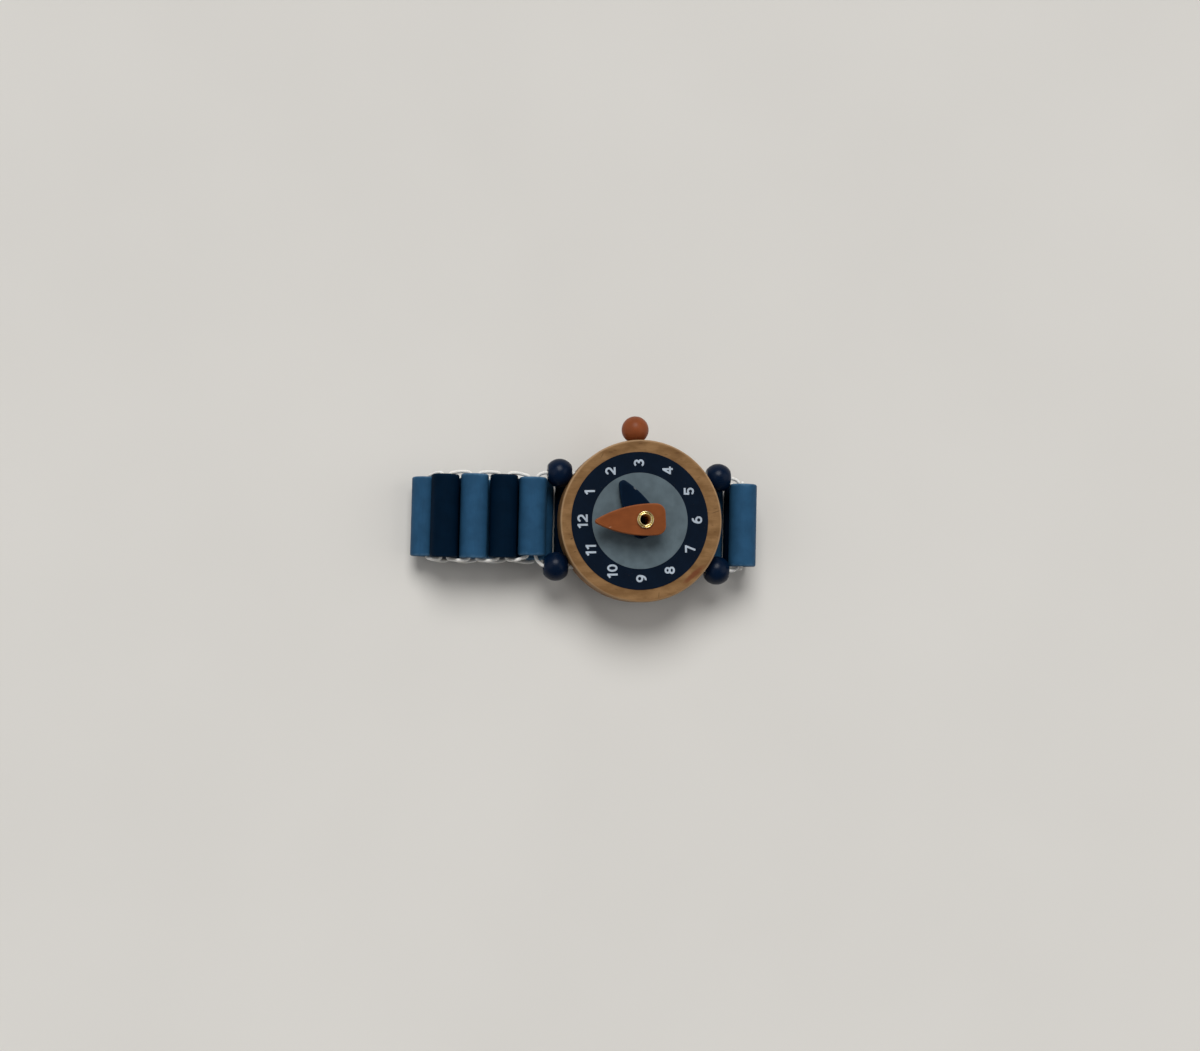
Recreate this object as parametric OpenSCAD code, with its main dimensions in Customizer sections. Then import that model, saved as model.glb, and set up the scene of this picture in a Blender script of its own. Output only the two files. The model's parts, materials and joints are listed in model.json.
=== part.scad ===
// Toy wooden watch: a turned case with a printed dial, two turning hands on a hollow rivet,
// and a closed strap of painted rods on elastic, lying pressed flat with the dial up.
// The origin is on the hands' axis at the front face of the case.
// +Z points out of the dial, +X along the strap towards 6 o'clock, +Y towards 3 o'clock.

/* [Case] */
// Diameter of the wooden case
case_d = 38; // [34:0.5:42]
// Thickness of the wooden case
case_t = 9; // [8:0.5:12]
// Rounding of the case's edges
case_edge = 0.5; // [0.3:0.1:1.5]
// How far the dial sits turned from the strap line, in degrees
face_turn = 2.4; // [-5:0.2:5]

/* [Dial] */
// Outer diameter of the printed ring
dial_d = 32.2; // [29:0.1:33]
// Diameter of the printed centre disc
dial_centre_d = 22.5; // [20:0.1:24]
// How far the print sits off the case's middle, towards 12
print_shift = 0.4; // [0:0.1:0.6]
// Thickness of the printed ring and disc
print_t = 0.12; // [0.08:0.02:0.3]
// Height of a numeral
numeral_h = 2.5; // [2:0.1:3.4]
// Width of a numeral
numeral_w = 1.8; // [1.4:0.1:2.2]
// Width of a numeral's stroke
numeral_stroke = 0.45; // [0.3:0.05:0.6]
// How far the numerals sit inside the middle of the printed ring
numeral_inset = 0.2; // [0:0.05:0.4]
// Thickness of the numerals' print
numeral_t = 0.06; // [0.04:0.02:0.2]

/* [Hands] */
// Thickness of each hand
hand_t = 2.2; // [1.5:0.1:3]
// Minute hand, from the axis to the tip
minute_tip = 11.5; // [9:0.1:13]
// Minute hand, from the axis to the rear end
minute_tail = 4.8; // [3.5:0.1:6]
// Minute hand, widest width
minute_w = 7.4; // [6:0.1:9]
// Minute hand, radius of the tip
minute_tip_r = 0.6; // [0.4:0.1:1.2]
// Hour hand, from the axis to the tip
hour_tip = 10.5; // [8:0.1:12]
// Hour hand, from the axis to the rear end
hour_tail = 3.8; // [3.5:0.1:6]
// Hour hand, widest width
hour_w = 7.2; // [6:0.1:9]
// Hour hand, radius of the tip
hour_tip_r = 0.9; // [0.4:0.1:1.4]
// Both hands, how far the widest place lies behind the axis
hand_belly = 1.3; // [0:0.1:2]
// Both hands, radius of the rear corners
hand_corner_r = 2.2; // [0.8:0.1:2.4]
// Minute hand's direction, in degrees clockwise from 12
minute_angle = -1; // [-180:1:180]
// Hour hand's direction, in degrees clockwise from 12
hour_angle = 62; // [-180:1:180]

/* [Rivet and washers] */
// Bore of the hollow rivet
rivet_bore_d = 2.4; // [1.8:0.1:2.8]
// Wall of the rivet's shank
rivet_wall = 0.25; // [0.15:0.05:0.5]
// Diameter of the rivet's rolled rims
rivet_rim_d = 3.9; // [3.6:0.1:5]
// Thickness of the rivet's rolled rims
rivet_rim_t = 0.5; // [0.3:0.05:0.8]
// Diameter of the washers
washer_d = 5.2; // [4.4:0.1:6.5]
// Thickness of the spacer washer under the hour hand
spacer_t = 0.8; // [0.4:0.1:1.5]
// Thickness of the washer between the hands and of the one at the back
washer_t = 0.3; // [0.2:0.05:0.6]
// Running clearance round the rivet's shank
shank_clear = 0.05; // [0.02:0.01:0.1]
// Free play above and below each hand
hand_play = 0.08; // [0.04:0.02:0.2]
// Clearance round the rear washer in its recess
recess_clear = 0.4; // [0.2:0.1:1]

/* [Crown] */
// Diameter of the crown's ball
crown_d = 6.4; // [5:0.05:8]
// Diameter of the crown's flat
crown_flat_d = 3.4; // [3.2:0.1:5]
// How far the crown sits past 3 o'clock, towards 12, in degrees
crown_turn = 1.2; // [-3:0.2:3]
// Diameter of the glued peg
peg_d = 2.4; // [1.5:0.1:3]
// Depth of the peg in the crown
peg_in_crown = 3; // [2:0.1:4]
// Depth of the peg in the case
peg_in_case = 4; // [2:0.1:5]
// Clearance of the glued peg and the crown's flat
glue_gap = 0.03; // [0.02:0.01:0.1]

/* [Strap] */
// Diameter of a rod
rod_d = 6.5; // [5.5:0.1:7.2]
// Length of a rod
rod_l = 19.6; // [16:0.2:20]
// Rounding of a rod's end edges
rod_edge = 0.5; // [0.3:0.1:1.2]
// Gap between neighbouring rods
rod_gap = 0.35; // [0.2:0.05:0.6]
// Gap between the case's back and the rods under it
under_gap = 0.25; // [0.15:0.05:0.6]
// Diameter of a lug bead
bead_d = 6.8; // [5.4:0.1:7]
// Length of a lug bead along its bore
bead_l = 5.7; // [4.8:0.1:6]
// Depth of the dimple in the case's edge that a lug bead sits in
bead_seat = 0.6; // [0.2:0.1:0.8]
// Gap between a lug bead and its dimple
bead_gap = 0.1; // [0.05:0.05:0.4]
// Gap along the strap between a lug bead and the rod beside it
lug_gap = 0.05; // [0.02:0.01:0.3]

/* [Elastic] */
// Diameter of the elastic
elastic_d = 0.8; // [0.6:0.05:1]
// Distance of the elastic's strands from the middle of the strap
elastic_y = 11; // [10.6:0.1:12]
// Radius of the elastic's turns
elastic_turn_r = 1.2; // [0.9:0.1:1.4]
// How far the elastic's runs stand off the rod ends
elastic_rise = 0.55; // [0.5:0.05:1]
// Least gap between the two strands in one bore
strand_gap = 0.15; // [0.1:0.05:0.3]
// Clearance of the strands in a rod's bore
rod_bore_clear = 0.1; // [0.1:0.05:0.3]
// Clearance of a strand in the bores of the beads and the case
strand_clear = 0.25; // [0.1:0.05:0.4]
// Chamfer at the mouths of a rod's bore
mouth_chamfer = 0.5; // [0.3:0.05:0.6]

/* [Hidden] */
$fn = 96;

// Rods in the upper row left of the case, and rods in the lower row
upper_n = 4;
lower_n = 11;
bend_n = upper_n + 1;
lower_last = bend_n + lower_n;
rod_n = lower_last + 1;

// Overrun of the cutting bodies
overrun = 0.5;
// Register gap between the two printed fields
register_gap = 0.02;

pitch = rod_d + rod_gap;
upper_z = pitch - rod_d / 2 - under_gap - case_t;
lower_z = upper_z - pitch;
bead_x = sqrt(pow(case_d / 2 - bead_seat + bead_gap + bead_d / 2, 2) - pow(elastic_y, 2));
lug_reach = bead_l / 2 + lug_gap + rod_d / 2;
lug_rod_x = bead_x + lug_reach;

// Rod axes as [x, z]. The rod in the bend lies one pitch from both of its neighbours.
upper_end = [-lug_rod_x - (upper_n - 1) * pitch, upper_z];
lower_start = [lug_rod_x - (lower_n - 1) * pitch, lower_z];
bend_chord = lower_start - upper_end;
bend_half = norm(bend_chord) / 2;
bend_out = sqrt(pow(pitch, 2) - pow(bend_half, 2));
bend_normal = [bend_chord[1], -bend_chord[0]] / norm(bend_chord);
bend_rod = (upper_end + lower_start) / 2 + bend_out * bend_normal;
bend_inside = 2 * asin(bend_half / pitch);

function rod_at(k) =
    k <= upper_n ? [-lug_rod_x - (k - 1) * pitch, upper_z] :
    k == bend_n ? bend_rod :
    k <= lower_last ? [lug_rod_x - (lower_last - k) * pitch, lower_z] :
    [lug_rod_x, upper_z];

// Two strands share a bore, each on the side of its neighbour. The bend is the tightest place.
strand_off = (elastic_d + strand_gap) / 2 / sin(bend_inside / 2);
rod_bore_d = 2 * (strand_off + elastic_d / 2 + rod_bore_clear);
strand_bore_d = elastic_d + 2 * strand_clear;

// Heights of the hands' stack over the case's front face
shank_d = rivet_bore_d + 2 * rivet_wall;
hand_bore_d = shank_d + 2 * shank_clear;
spacer_z = print_t;
hour_z = spacer_z + spacer_t + hand_play;
hand_washer_z = hour_z + hand_t + hand_play;
minute_z = hand_washer_z + washer_t + hand_play;
rivet_top = minute_z + hand_t + hand_play + rivet_rim_t;
recess_d = washer_d + 2 * recess_clear;
recess_t = washer_t + rivet_rim_t + under_gap;
back_washer_z = recess_t - case_t - washer_t;
rivet_bottom = back_washer_z - rivet_rim_t;

crown_flat_drop = sqrt(pow(crown_d / 2, 2) - pow(crown_flat_d / 2, 2));
crown_y = case_d / 2 + glue_gap + crown_flat_drop;
crown_z = -case_t / 2;
numeral_ring_r = (dial_d + dial_centre_d) / 4 - numeral_inset;

light_blue = [0.17, 0.30, 0.42];
navy = [0.03, 0.09, 0.16];
orange = [0.50, 0.28, 0.15];

function two_digits(k) = str(k < 10 ? "0" : "", k);
function rod_name(k) = str("rod_", two_digits(k));
function elastic_name(k) = str("elastic_", two_digits(k));
bead_names = ["bead_12_crown_side", "bead_12_far_side", "bead_6_crown_side", "bead_6_far_side"];
bead_signs = [[-1, 1], [-1, -1], [1, 1], [1, -1]];
lug_names = ["elastic_lug_12", "elastic_lug_6"];

// Shared shapes

// Disc or rod standing on z = 0, with rounded end edges
module rounded_disc(d, t, edge) {
    rotate_extrude() {
        square([d / 2 - edge, t]);
        translate([0, edge]) square([d / 2, t - 2 * edge]);
        for (z = [edge, t - edge]) translate([d / 2 - edge, z]) circle(edge);
    }
}

module washer(t) {
    difference() {
        cylinder(h = t, d = washer_d);
        translate([0, 0, -overrun]) cylinder(h = t + 2 * overrun, d = hand_bore_d);
    }
}

function arc_points(centre, r, from, to, steps) =
    [for (i = [0 : steps]) let (a = from + (to - from) * i / steps) centre + r * [cos(a), sin(a)]];

// Half outline of a hand whose tip lies along +X: tip arc, long side arc and rear corner arc,
// each tangent to the next
function hand_side(tip, tail, w, tip_r) =
    let (a = tip - tip_r + hand_belly,
         side_r = (pow(a, 2) + pow(w / 2, 2) - pow(tip_r, 2)) / (w - 2 * tip_r),
         side_c = [-hand_belly, w / 2 - side_r],
         tip_turn = atan2(side_r - w / 2, a),
         corner_x = hand_corner_r - tail,
         corner_rise = sqrt(pow(side_r - hand_corner_r, 2) - pow(corner_x + hand_belly, 2)),
         corner_turn = atan2(corner_rise, corner_x + hand_belly))
    concat(arc_points([tip - tip_r, 0], tip_r, 0, tip_turn, 6),
           arc_points(side_c, side_r, tip_turn, corner_turn, 16),
           arc_points([corner_x, side_c[1] + corner_rise], hand_corner_r, corner_turn, 180, 8));

module hand(tip, tail, w, tip_r) {
    side = hand_side(tip, tail, w, tip_r);
    other_side = [for (i = [len(side) - 1 : -1 : 1]) [side[i][0], -side[i][1]]];
    difference() {
        linear_extrude(hand_t) polygon(concat(side, other_side));
        translate([0, 0, -overrun]) cylinder(h = hand_t + 2 * overrun, d = hand_bore_d);
    }
}

// Turns a shape drawn along +X to a place on the dial, in degrees clockwise from 12
module on_dial(angle) rotate([0, 0, face_turn + 180 - angle]) children();

// Straight run of elastic along X from x0 to x1
module strand_x(x0, x1) translate([x0, 0, 0]) rotate([0, 90, 0]) cylinder(h = x1 - x0, d = elastic_d);

// Straight leg of elastic along Y, centred
module strand_y(half_l) rotate([90, 0, 0]) cylinder(h = 2 * half_l, d = elastic_d, center = true);

// Quarter turn of elastic from +X to +Y about the origin
module strand_turn() rotate_extrude(angle = 90) translate([elastic_turn_r, 0]) circle(d = elastic_d);

// Digits: strokes between points given as shares of the half box that the stroke's middle runs in

digit_x = (numeral_w - numeral_stroke) / 2;
digit_y = (numeral_h - numeral_stroke) / 2;
digit_step = numeral_w + numeral_stroke / 2;
// Radii of the large bowl and of an eight's upper bowl
bowl_r = digit_x;
low_bowl_share = 0.53;
low_bowl_r = low_bowl_share * digit_y;
high_bowl_r = digit_y - low_bowl_r;

function digit_at(share) = [share[0] * digit_x, share[1] * digit_y];

module dot_at(p) translate(p) cylinder(h = numeral_t, d = numeral_stroke);

module line_between(p, q) {
    translate(p) rotate([0, 0, atan2(q[1] - p[1], q[0] - p[0])])
        translate([0, -numeral_stroke / 2, 0]) cube([norm(q - p), numeral_stroke, numeral_t]);
    dot_at(p);
    dot_at(q);
}

module strokes(shares) {
    for (i = [0 : len(shares) - 2]) line_between(digit_at(shares[i]), digit_at(shares[i + 1]));
}

module bow(centre, r, from, to) {
    translate(centre) rotate([0, 0, from]) rotate_extrude(angle = to - from)
        translate([r - numeral_stroke / 2, 0]) square([numeral_stroke, numeral_t]);
    if (to - from < 360) for (a = [from, to]) dot_at(centre + r * [cos(a), sin(a)]);
}

one_shares = [[-0.55, 0.5], [0.15, 1], [0.15, -1]];
two_foot_shares = [[-0.95, -1], [0.95, -1]];
four_shares = [[0.4, -1], [0.4, 1], [-1, -0.4], [1, -0.4]];
five_shares = [[0.85, 1], [-0.75, 1], [-0.87, 0]];
seven_shares = [[-0.95, 1], [0.95, 1], [-0.3, -1]];
two_end_turn = -38;
five_start_turn = 150;
five_end_turn = -145;
six_end_turn = 35;

module digit_0() {
    for (s = [-1, 1]) {
        translate([s * bowl_r, 0]) line_between([0, bowl_r - digit_y], [0, digit_y - bowl_r]);
        bow([0, s * (digit_y - bowl_r)], bowl_r, s > 0 ? 0 : 180, s > 0 ? 180 : 360);
    }
}
module digit_1() strokes(one_shares);
module digit_2() {
    top = [0, digit_y - bowl_r];
    bow(top, bowl_r, two_end_turn, 170);
    line_between(top + bowl_r * [cos(two_end_turn), sin(two_end_turn)], digit_at(two_foot_shares[0]));
    strokes(two_foot_shares);
}
module digit_3() {
    bow([0, digit_y - high_bowl_r], high_bowl_r, -90, 150);
    bow([0, low_bowl_r - digit_y], low_bowl_r, -150, 90);
}
module digit_4() strokes(four_shares);
module digit_5() {
    strokes(five_shares);
    bow([0, bowl_r - digit_y], bowl_r, five_end_turn, five_start_turn);
    line_between(digit_at(five_shares[2]),
                 [0, bowl_r - digit_y] + bowl_r * [cos(five_start_turn), sin(five_start_turn)]);
}
module digit_6() {
    bow([0, bowl_r - digit_y], bowl_r, 0, 360);
    line_between([-bowl_r, bowl_r - digit_y], [-bowl_r, digit_y - bowl_r]);
    bow([0, digit_y - bowl_r], bowl_r, six_end_turn, 180);
}
module digit_7() strokes(seven_shares);
module digit_8() {
    bow([0, digit_y - high_bowl_r], high_bowl_r, 0, 360);
    bow([0, low_bowl_r - digit_y], low_bowl_r, 0, 360);
}
module digit_9() rotate([0, 0, 180]) digit_6();

module digit(k) {
    if (k == 0) digit_0();
    if (k == 1) digit_1();
    if (k == 2) digit_2();
    if (k == 3) digit_3();
    if (k == 4) digit_4();
    if (k == 5) digit_5();
    if (k == 6) digit_6();
    if (k == 7) digit_7();
    if (k == 8) digit_8();
    if (k == 9) digit_9();
}

// Places a shape at a lug bead's middle, with signs for its end of the strap and its side
module at_lug(signs) translate([signs[0] * bead_x, signs[1] * elastic_y, upper_z]) children();

// Sub-parts on the case

module case() {
    color([0.49, 0.38, 0.25]) difference() {
        translate([0, 0, -case_t]) rounded_disc(case_d, case_t, case_edge);
        translate([0, 0, -case_t - overrun]) cylinder(h = case_t + 2 * overrun, d = hand_bore_d);
        translate([0, 0, -case_t - overrun]) cylinder(h = recess_t + overrun, d = recess_d);
        for (s = [-1, 1]) translate([0, s * elastic_y, upper_z])
            rotate([0, 90, 0]) cylinder(h = case_d, d = strand_bore_d, center = true);
        for (signs = bead_signs) at_lug(signs) sphere(d = bead_d + 2 * bead_gap);
        on_crown_axis(case_d / 2 - peg_in_case - glue_gap)
            cylinder(h = peg_in_case + glue_gap + overrun, d = peg_d + 2 * glue_gap);
    }
}

module dial_ring() {
    color(navy) translate([-print_shift, 0, 0]) difference() {
        cylinder(h = print_t, d = dial_d);
        translate([0, 0, -overrun])
            cylinder(h = print_t + 2 * overrun, d = dial_centre_d + 2 * register_gap);
    }
}

module dial_centre() {
    color([0.34, 0.38, 0.40]) difference() {
        translate([-print_shift, 0, 0]) cylinder(h = print_t, d = dial_centre_d);
        translate([0, 0, -overrun]) cylinder(h = print_t + 2 * overrun, d = hand_bore_d);
    }
}

module numerals() {
    color([0.60, 0.65, 0.70]) translate([-print_shift, 0, 0]) for (n = [1 : 12])
        on_dial(30 * n) translate([numeral_ring_r, 0, print_t]) rotate([0, 0, 30 * n - 90])
            if (n < 10) digit(n);
            else for (s = [-1, 1]) translate([s * digit_step / 2, 0, 0]) digit(s < 0 ? 1 : n - 10);
}

module hand_rivet() {
    color([0.72, 0.60, 0.32]) rotate_extrude() {
        rim_w = (rivet_rim_d - rivet_bore_d) / 2;
        translate([rivet_bore_d / 2, rivet_bottom + rivet_rim_t / 2])
            square([rivet_wall, rivet_top - rivet_bottom - rivet_rim_t]);
        for (z = [rivet_bottom, rivet_top - rivet_rim_t]) translate([rivet_bore_d / 2, z]) {
            translate([rivet_rim_t / 2, 0]) square([rim_w - rivet_rim_t, rivet_rim_t]);
            for (x = [rivet_rim_t / 2, rim_w - rivet_rim_t / 2])
                translate([x, rivet_rim_t / 2]) circle(d = rivet_rim_t);
        }
    }
}

module spacer_washer() color([0.62, 0.50, 0.36]) translate([0, 0, spacer_z]) washer(spacer_t);
module hand_washer() color([0.72, 0.60, 0.32]) translate([0, 0, hand_washer_z]) washer(washer_t);
module back_washer() color([0.72, 0.60, 0.32]) translate([0, 0, back_washer_z]) washer(washer_t);

module hour_hand() {
    color(navy) translate([0, 0, hour_z]) on_dial(hour_angle) hand(hour_tip, hour_tail, hour_w, hour_tip_r);
}

module minute_hand() {
    color(orange) translate([0, 0, minute_z]) on_dial(minute_angle)
        hand(minute_tip, minute_tail, minute_w, minute_tip_r);
}

// Stands a shape on the crown's axis, its base at the distance r from the hands' axis
module on_crown_axis(r) on_dial(90 - crown_turn) translate([r, 0, crown_z]) rotate([0, 90, 0]) children();

module crown() {
    color(orange) on_crown_axis(crown_y) difference() {
        sphere(d = crown_d);
        translate([0, 0, -crown_flat_drop - crown_d]) cylinder(h = crown_d, d = 2 * crown_d);
        translate([0, 0, -crown_flat_drop - overrun])
            cylinder(h = overrun + peg_in_crown + glue_gap, d = peg_d + 2 * glue_gap);
    }
}

module crown_peg() {
    color([0.62, 0.50, 0.36]) on_crown_axis(case_d / 2 - peg_in_case)
        cylinder(h = peg_in_case + glue_gap + peg_in_crown, d = peg_d);
}

// Strap

module bead(signs) {
    color(navy) at_lug(signs) rotate([0, 90, 0])
        difference() {
            intersection() {
                sphere(d = bead_d);
                cylinder(h = bead_l, d = 2 * bead_d, center = true);
            }
            cylinder(h = 2 * bead_l, d = strand_bore_d, center = true);
        }
}

module rod(k) {
    at = rod_at(k);
    color(k % 2 == 1 ? light_blue : navy) translate([at[0], 0, at[1]]) rotate([90, 0, 0])
        difference() {
            translate([0, 0, -rod_l / 2]) rounded_disc(rod_d, rod_l, rod_edge);
            cylinder(h = 2 * rod_l, d = rod_bore_d, center = true);
            for (s = [0, 1]) mirror([0, 0, s]) translate([0, 0, rod_l / 2 - mouth_chamfer])
                cylinder(h = mouth_chamfer + overrun, d1 = rod_bore_d,
                         d2 = rod_bore_d + 2 * (mouth_chamfer + overrun));
        }
}

// Closed loop of elastic through the bores of rod k and the next one
module elastic_loop(k) {
    from = rod_at(k);
    to = rod_at(k + 1);
    span = norm(to - from);
    run_y = rod_l / 2 + elastic_rise;
    leg_y = run_y - elastic_turn_r;
    turn_x = span / 2 - strand_off - elastic_turn_r;
    color("white") translate([from[0], 0, from[1]])
        rotate([0, -atan2(to[1] - from[1], to[0] - from[0]), 0]) translate([span / 2, 0, 0]) {
            for (sx = [0, 1]) mirror([sx, 0, 0]) {
                translate([span / 2 - strand_off, 0, 0]) strand_y(leg_y);
                for (sy = [0, 1]) mirror([0, sy, 0]) translate([turn_x, leg_y, 0]) strand_turn();
            }
            for (s = [-1, 1]) translate([0, s * run_y, 0]) strand_x(-turn_x, turn_x);
        }
}

// Elastic from one lug bead through the rod beside it and back through the other bead
module elastic_lug(side) {
    leg_x = lug_rod_x - strand_off;
    leg_y = elastic_y - elastic_turn_r;
    turn_x = leg_x - elastic_turn_r;
    color("white") translate([0, 0, upper_z]) mirror([side > 0 ? 0 : 1, 0, 0]) {
        translate([leg_x, 0, 0]) strand_y(leg_y);
        for (sy = [0, 1]) mirror([0, sy, 0]) {
            translate([turn_x, leg_y, 0]) strand_turn();
            translate([0, elastic_y, 0]) strand_x(bead_x - bead_l / 2, turn_x);
        }
    }
}

// The two strands inside the case, which end where the lug beads turn
module elastic_case() {
    half_l = bead_x - bead_d / 2 - lug_gap;
    color("white") for (s = [-1, 1]) translate([0, s * elastic_y, upper_z]) strand_x(-half_l, half_l);
}

case();
dial_ring();
dial_centre();
numerals();
hand_rivet();
spacer_washer();
hand_washer();
back_washer();
hour_hand();
minute_hand();
crown();
crown_peg();
elastic_case();
for (i = [0, 1]) elastic_lug(2 * i - 1);
for (i = [0 : 3]) bead(bead_signs[i]);
for (k = [1 : rod_n]) rod(k);
for (k = [1 : rod_n - 1]) elastic_loop(k);
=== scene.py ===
# %% [markdown]
# # A toy watch of turned and painted wood
#
# This lesson dresses the packed model of a toy watch: a beech case with a printed dial, two wooden hands
# on a hollow rivet, a ball for a crown, and a strap of painted rods threaded on white elastic. The packed
# model already holds every size and place, so each step adds only what plain solids lack: rolled and
# softened edges, grain, paint, ink, brass and braided cord.

# %% Load the packed model
import json
import math
import bmesh
import bpy
from mathutils import Matrix, Vector

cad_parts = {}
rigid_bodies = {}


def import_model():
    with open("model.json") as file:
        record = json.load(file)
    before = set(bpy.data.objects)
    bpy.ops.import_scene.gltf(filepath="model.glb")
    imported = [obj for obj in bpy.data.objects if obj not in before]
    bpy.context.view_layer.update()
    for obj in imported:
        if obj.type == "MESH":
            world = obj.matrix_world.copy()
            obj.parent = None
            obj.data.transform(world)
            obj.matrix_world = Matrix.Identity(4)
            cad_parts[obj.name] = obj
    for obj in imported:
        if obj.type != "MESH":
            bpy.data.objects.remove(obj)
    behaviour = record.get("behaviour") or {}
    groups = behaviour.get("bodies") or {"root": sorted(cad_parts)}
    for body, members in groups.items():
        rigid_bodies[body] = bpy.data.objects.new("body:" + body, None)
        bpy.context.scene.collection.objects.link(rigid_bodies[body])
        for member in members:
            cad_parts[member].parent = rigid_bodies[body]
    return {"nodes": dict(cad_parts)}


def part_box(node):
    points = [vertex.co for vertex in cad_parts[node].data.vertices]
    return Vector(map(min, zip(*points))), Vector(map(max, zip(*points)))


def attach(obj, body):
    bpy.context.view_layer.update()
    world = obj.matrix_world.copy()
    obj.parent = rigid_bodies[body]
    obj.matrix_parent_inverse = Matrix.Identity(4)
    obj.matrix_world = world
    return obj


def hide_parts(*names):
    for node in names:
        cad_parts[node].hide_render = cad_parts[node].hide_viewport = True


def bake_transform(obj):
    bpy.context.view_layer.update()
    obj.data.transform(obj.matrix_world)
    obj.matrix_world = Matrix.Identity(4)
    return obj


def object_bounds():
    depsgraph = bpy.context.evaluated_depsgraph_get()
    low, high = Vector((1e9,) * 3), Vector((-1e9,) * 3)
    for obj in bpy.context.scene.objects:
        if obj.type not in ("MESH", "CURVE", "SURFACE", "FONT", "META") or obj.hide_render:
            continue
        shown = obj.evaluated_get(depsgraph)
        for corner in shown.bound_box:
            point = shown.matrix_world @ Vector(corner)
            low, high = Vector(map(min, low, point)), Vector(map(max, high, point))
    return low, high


for leftover in list(bpy.data.objects):
    bpy.data.objects.remove(leftover)
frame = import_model()
cad_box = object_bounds()
MM = 0.001
FACE_TURN = 2.4
print("size in mm:", [round(x / MM, 2) for x in cad_box[1] - cad_box[0]])

# %% [markdown]
# ## The camera
#
# The watch lies dial up and is seen from almost straight above, a little from the strap's long end, with
# the strap turned slightly clockwise in the picture. A camera can be placed by hand in the viewport, but
# three directions worked out from an aim point, a direction and a roll can be checked and repeated.

# %% Camera
aim = Vector((-9.16, -1.12, -5.0)) * MM
away = Vector((-0.12, -0.05, 1.0)).normalized()
roll = math.radians(-1.27)
across = Vector((math.sin(roll), math.cos(roll), 0)).cross(away).normalized()
upright = away.cross(across)
lens = bpy.data.cameras.new("camera")
lens.sensor_width, lens.lens = 36.0, 51.0
CAMERA_AWAY = 400
camera = bpy.data.objects.new("camera", lens)
bpy.context.scene.collection.objects.link(camera)
camera.matrix_world = Matrix.Translation(aim + CAMERA_AWAY * MM * away) @ Matrix(
    (across, upright, away)).transposed().to_4x4()
bpy.context.scene.camera = camera
print("camera at mm:", [round(x / MM, 1) for x in camera.matrix_world.translation])

# %% [markdown]
# ## A short way to write nodes
#
# Materials and Geometry Nodes are both trees of nodes joined by links. Written out link by link they are
# long to read. Here a Wire is one socket, and arithmetic on wires adds Math nodes, so a mask can be
# written as a sum. A Bench is one tree, and its one method adds any other node: first the node's type,
# then its settings, then the values or wires of its sockets.


# %% Wire and Bench
class Wire:
    """One socket of a node tree. Arithmetic on wires adds Math nodes to the same tree."""

    def __init__(self, bench, socket):
        self.bench, self.socket = bench, socket

    def math(self, operation, *values):
        return self.bench.node("ShaderNodeMath", {"operation": operation}, dict(enumerate(values)))

    def __add__(self, other):
        return self.math("ADD", self, other)

    def __sub__(self, other):
        return self.math("SUBTRACT", self, other)

    def __rsub__(self, other):
        return self.math("SUBTRACT", other, self)

    def __mul__(self, other):
        return self.math("MULTIPLY", self, other)

    def sine(self):
        return self.math("SINE", self)

    __radd__, __rmul__ = __add__, __mul__


class Bench:
    """One node tree, with one way to add a node to it."""

    def __init__(self, tree):
        self.tree = tree

    def node(self, kind, settings=None, sockets=None, out=0):
        node = self.tree.nodes.new(kind)
        for key, value in (settings or {}).items():
            setattr(node, key, value)
        for key, value in (sockets or {}).items():
            if isinstance(value, Wire):
                self.tree.links.new(value.socket, node.inputs[key])
            else:
                node.inputs[key].default_value = value
        if isinstance(out, tuple):
            return [Wire(self, node.outputs[key]) for key in out]
        return Wire(self, node.outputs[out]) if node.outputs else node


print("a wire adds Math nodes:", [name for name in vars(Wire) if name.startswith("__r")])

# %% [markdown]
# ## Finishes
#
# Every surface here is wood, ink, brass or cord, and each is one Principled shader fed by patterns. The
# patterns read Object coordinates, so they stay in the wood as a piece turns. A Mapping node of the type
# Texture gives a pattern its own centre, turn and unit, so a fibre 4 mm long and 0.2 mm wide is one line.
# Colours are written as the eye reads them, from 0 to 255, and turned to linear light once.


# %% Finish
def tone(red, green, blue):
    """A colour read from 0 to 255, as linear light."""
    parts = [x / 255 for x in (red, green, blue)]
    return tuple(x / 12.92 if x <= 0.04045 else ((x + 0.055) / 1.055) ** 2.4 for x in parts) + (1.0,)


def shade(colour, share):
    """A linear colour made lighter or darker."""
    return tuple(min(x * share, 1.0) for x in colour[:3]) + (1.0,)


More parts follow.
